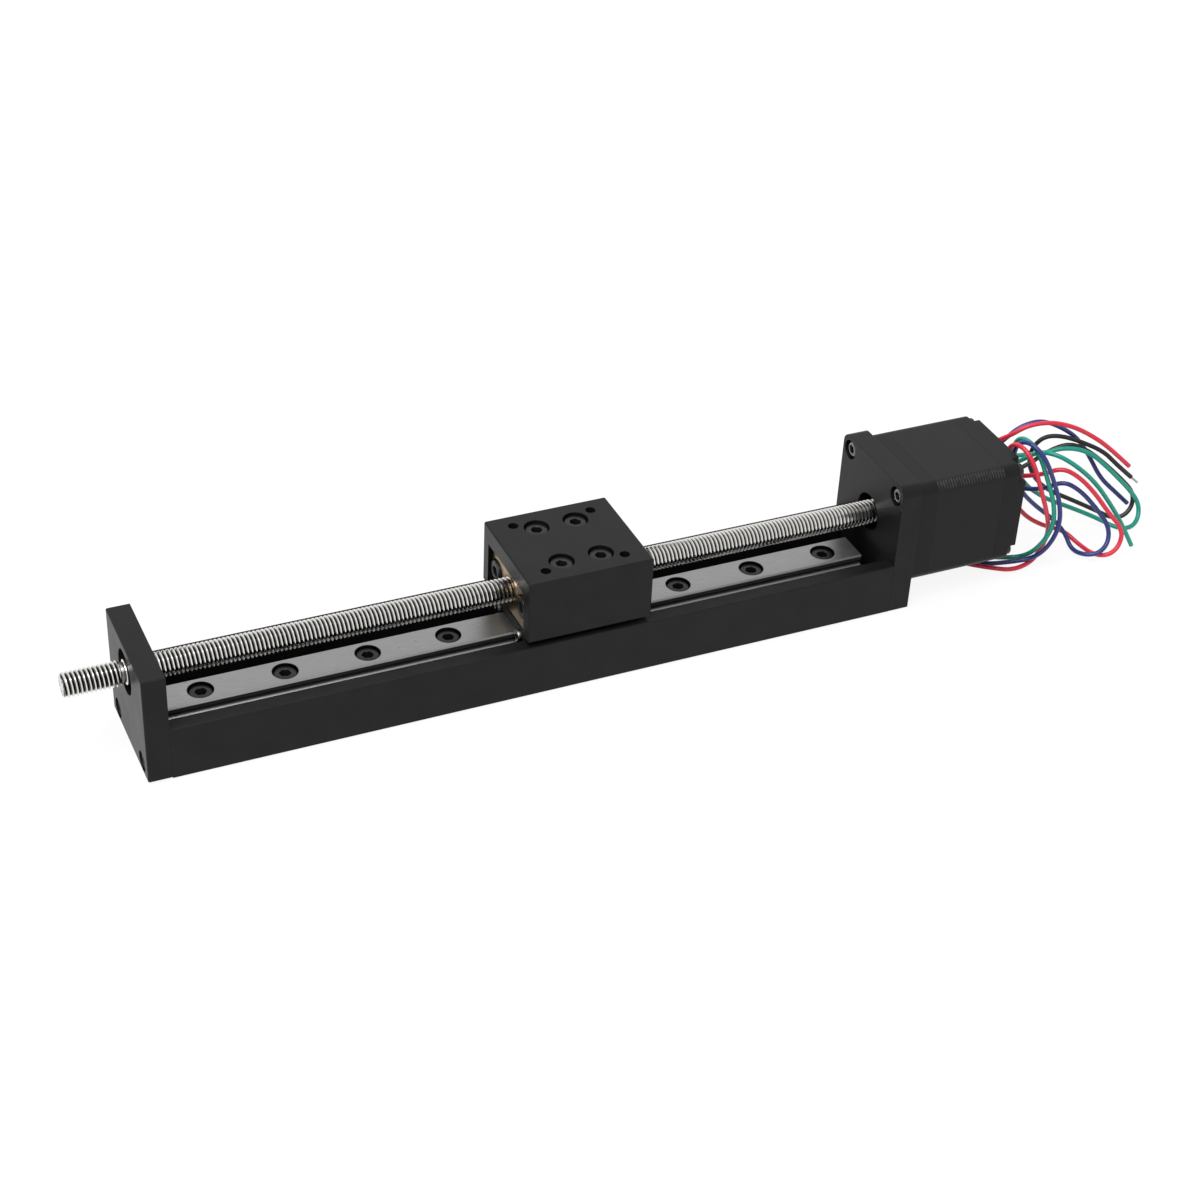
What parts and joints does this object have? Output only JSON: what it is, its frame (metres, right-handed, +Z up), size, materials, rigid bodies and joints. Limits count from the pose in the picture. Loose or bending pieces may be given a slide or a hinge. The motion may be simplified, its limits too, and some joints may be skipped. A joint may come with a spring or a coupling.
{
  "type": "linear slide table",
  "caption": "Compact motor-driven slide table: a lead screw moves a block along a profile rail in an open black channel.",
  "frame": {"origin": "middle of the base channel's underside", "axes": "+X along the rail towards the motor, +Z up out of the slide block's top face"},
  "size_m": [0.2864, 0.0345, 0.0375],
  "materials": {
    "anodised_black": "black anodised, satin",
    "ground_steel": "ground, bright",
    "black_oxide": "black oxide, satin",
    "bearing_steel": "polished",
    "screw_steel": "rolled thread, bright",
    "zinc_steel": "zinc plated",
    "motor_black": "black, satin",
    "motor_lamination": "black, laminated",
    "rotor_steel": "laminated",
    "copper_coil": "enamelled copper",
    "brass": "machined",
    "cap_plastic": "moulded",
    "seal_rubber": "moulded",
    "wire_red": "soft insulation",
    "wire_green": "soft insulation",
    "wire_blue": "soft insulation",
    "wire_black": "soft insulation",
    "tinned_copper": "tinned strands"
  },
  "bodies": {
    "base": {"base_channel": "anodised_black", "guide_rail": "ground_steel", "rail_screws": "black_oxide", "end_plate": "anodised_black", "end_plate_screws": "black_oxide", "support_bearing_outer": "bearing_steel", "support_bearing_balls": "bearing_steel", "motor_bracket": "anodised_black", "bracket_screws": "black_oxide", "motor_screws": "zinc_steel", "motor_front_bell": "motor_black", "motor_stator": "motor_lamination", "motor_rear_bell": "motor_black", "motor_case_screws": "black_oxide", "motor_coils": "copper_coil", "motor_front_bearing_outer": "bearing_steel", "motor_front_bearing_balls": "bearing_steel", "motor_rear_bearing_outer": "bearing_steel", "motor_rear_bearing_balls": "bearing_steel", "lead_grommet": "seal_rubber", "lead_red": "wire_red", "lead_green": "wire_green", "lead_blue": "wire_blue", "lead_black": "wire_black", "lead_tips": "tinned_copper"},
    "screw": {"lead_screw": "screw_steel", "support_bearing_inner": "bearing_steel", "motor_rotor": "rotor_steel", "motor_front_bearing_inner": "bearing_steel", "motor_rear_bearing_inner": "bearing_steel"},
    "carriage": {"slide_block": "anodised_black", "slide_block_screws": "black_oxide", "lead_nut": "brass", "nut_screws": "black_oxide", "guide_block": "ground_steel", "end_cap_left": "cap_plastic", "end_cap_right": "cap_plastic", "end_seal_left": "seal_rubber", "end_seal_right": "seal_rubber", "cap_screws": "zinc_steel", "guide_balls": "bearing_steel"}
  },
  "joints": [
    {"name": "screw_spin", "type": "hinge", "parent": "base", "child": "screw", "pos_m": [0, 0, 0.0205], "axis": [1, 0, 0], "range_deg": [-23400, 30456]},
    {"name": "carriage_slide", "type": "slide", "parent": "base", "child": "carriage", "axis": [1, 0, 0], "range_m": [-0.0846, 0.065]}
  ],
  "couplings": [
    {"joint": "screw_spin", "follows": "carriage_slide", "rad_per_m": -6283.2}
  ]
}
